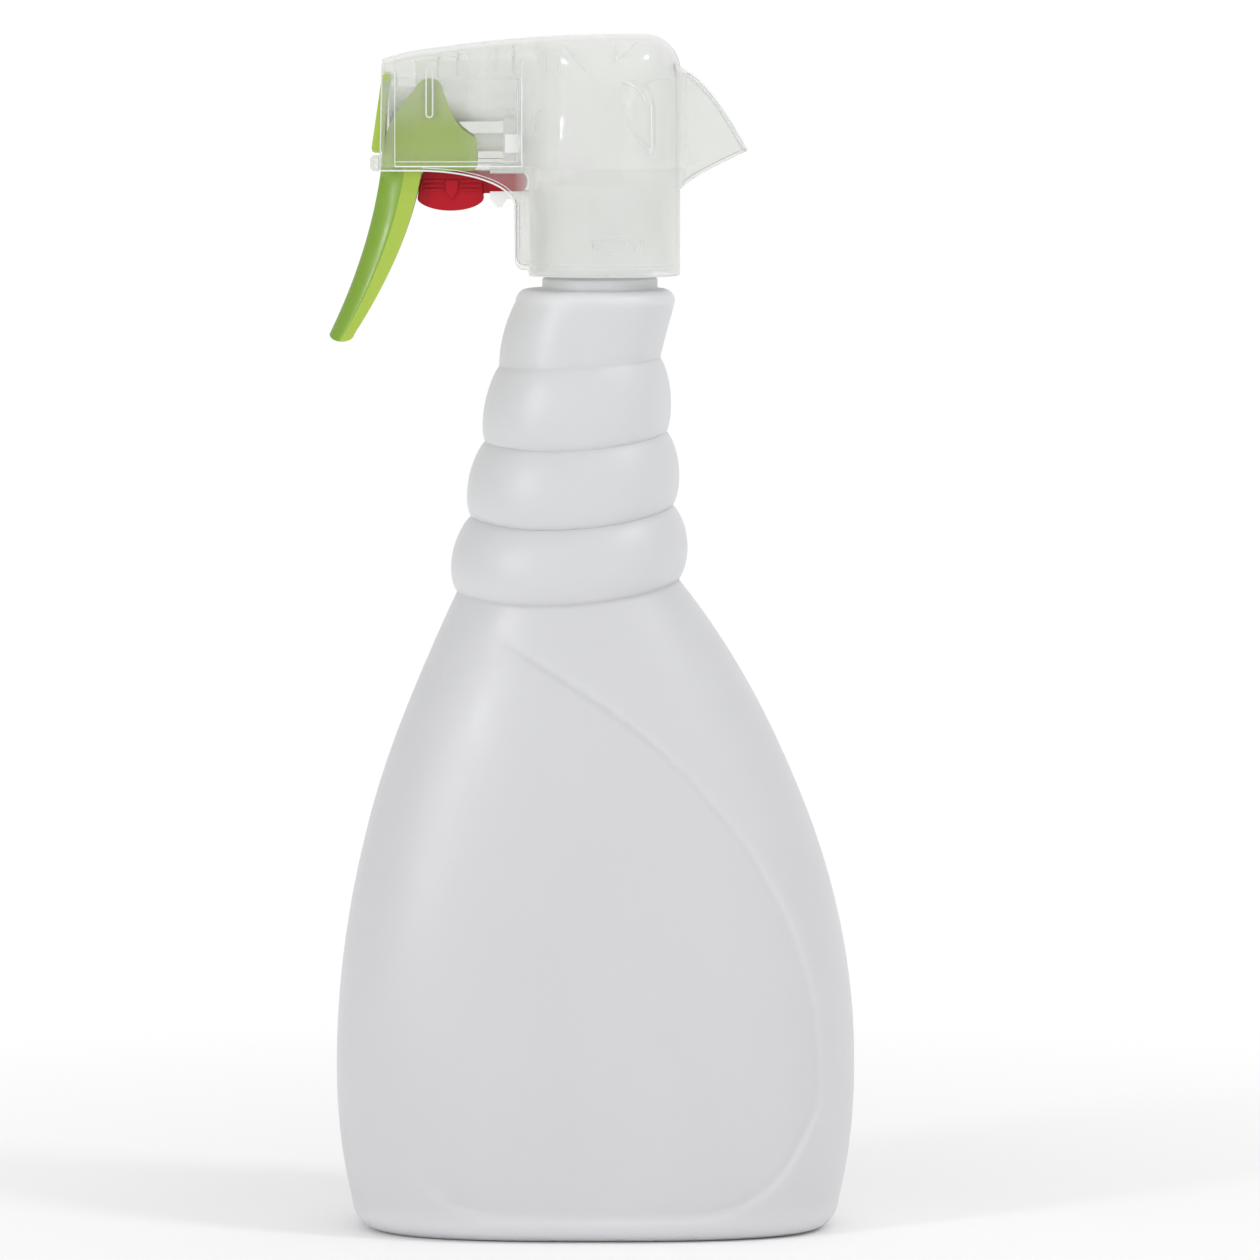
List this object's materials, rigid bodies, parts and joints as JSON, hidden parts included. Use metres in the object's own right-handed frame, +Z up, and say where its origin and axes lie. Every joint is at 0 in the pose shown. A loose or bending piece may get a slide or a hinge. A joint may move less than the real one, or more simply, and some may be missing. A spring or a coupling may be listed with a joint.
{
  "type": "trigger spray bottle",
  "caption": "Hand mister: milky oval bottle with a tiered grip and a trigger pump head under a clear shroud, with green trigger and flap and a red trigger lock.",
  "frame": {"origin": "on the neck's axis, at the flat base of the bottle", "axes": "+Z up along the neck's axis, -X the way it sprays, +Y across it"},
  "size_m": [0.1258, 0.0704, 0.2866],
  "materials": {
    "bottle_pe": "milky natural polyethylene, satin",
    "natural_pp": "natural polypropylene, satin",
    "soft_pe": "soft polyethylene",
    "clear_pp": "clear polypropylene, gloss",
    "green_pp": "lime green polypropylene, satin gloss",
    "red_pp": "red polypropylene, satin gloss",
    "steel": "bright spring steel",
    "seal_rubber": "black rubber"
  },
  "bodies": {
    "bottle": {"bottle": "bottle_pe"},
    "seal": {"bottle_gasket": "soft_pe"},
    "head": {"closure_nut": "natural_pp", "pump_body": "natural_pp", "passage_plug": "natural_pp", "tube_retainer": "natural_pp", "dip_tube": "soft_pe", "tube_filter": "natural_pp", "return_spring": "steel", "outlet_spring": "steel", "swirl_plug": "natural_pp", "nozzle_seal": "seal_rubber", "nozzle_tip": "natural_pp", "shroud": "clear_pp"},
    "trigger": {"trigger": "green_pp"},
    "piston": {"piston": "natural_pp", "piston_cup": "soft_pe"},
    "nozzle_flap": {"nozzle_flap": "green_pp"},
    "trigger_lock": {"trigger_lock": "red_pp"},
    "inlet_ball": {"inlet_ball": "steel"},
    "outlet_valve": {"outlet_valve": "natural_pp"}
  },
  "joints": [
    {"name": "head_rise", "type": "slide", "parent": "bottle", "child": "seal", "axis": [0, 0, 1], "range_m": [0, 0.0043]},
    {"name": "head_turn", "type": "hinge", "parent": "seal", "child": "head", "pos_m": [0, 0, 0.24], "axis": [0, 0, 1], "range_deg": [0, 360]},
    {"name": "trigger_pull", "type": "hinge", "parent": "head", "child": "trigger", "pos_m": [-0.0406, 0, 0.2731], "axis": [0, -1, 0], "range_deg": [0, 18], "stiffness_Nm_per_rad": 0.6},
    {"name": "piston_slide", "type": "slide", "parent": "head", "child": "piston", "axis": [1, 0, 0], "range_m": [0, 0.0049], "deforming": ["return_spring"]},
    {"name": "flap_open", "type": "hinge", "parent": "head", "child": "nozzle_flap", "pos_m": [-0.0508, 0, 0.2764], "axis": [0, 1, 0], "range_deg": [0, 100]},
    {"name": "lock_slide", "type": "slide", "parent": "head", "child": "trigger_lock", "axis": [1, 0, 0], "range_m": [-0.0065, 0]},
    {"name": "inlet_lift", "type": "slide", "parent": "head", "child": "inlet_ball", "axis": [0, 0, 1], "range_m": [0, 0.0012]},
    {"name": "outlet_lift", "type": "slide", "parent": "head", "child": "outlet_valve", "axis": [-1, 0, 0], "range_m": [0, 0.001], "deforming": ["outlet_spring"]}
  ],
  "couplings": [
    {"joint": "head_rise", "follows": "head_turn", "m_per_rad": 0.00067323},
    {"joint": "piston_slide", "follows": "trigger_pull", "m_per_rad": 0.0153}
  ]
}
